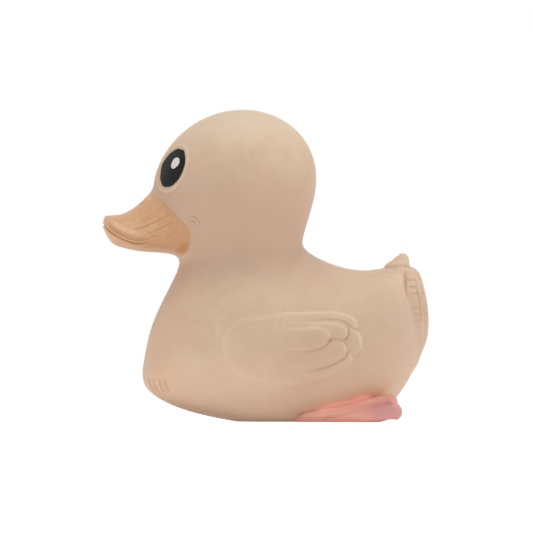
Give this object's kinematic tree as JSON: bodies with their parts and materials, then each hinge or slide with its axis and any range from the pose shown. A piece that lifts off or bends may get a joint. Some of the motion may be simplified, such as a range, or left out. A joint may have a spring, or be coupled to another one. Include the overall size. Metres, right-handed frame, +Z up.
{
  "type": "rubber duck",
  "caption": "Moulded natural-rubber bath duck with a big round head, flat bill, painted eyes, relief wings, ribbed tail fan with a small tuft, and webbed feet on a flat base.",
  "frame": {"origin": "on the flat base's plane, below the middle of the overall box", "axes": "+Z up; the bill points to -X; the pictured side faces -Y"},
  "size_m": [0.1199, 0.09, 0.1148],
  "materials": {
    "natural_rubber": "matte moulded natural rubber",
    "bill_rubber": "matte orange-brown tint on the bill",
    "foot_rubber": "matte pink tint on the feet",
    "eye_paint": "hand-painted black eye with a white dot"
  },
  "bodies": {
    "root": {"duck": "natural_rubber"}
  },
  "joints": []
}
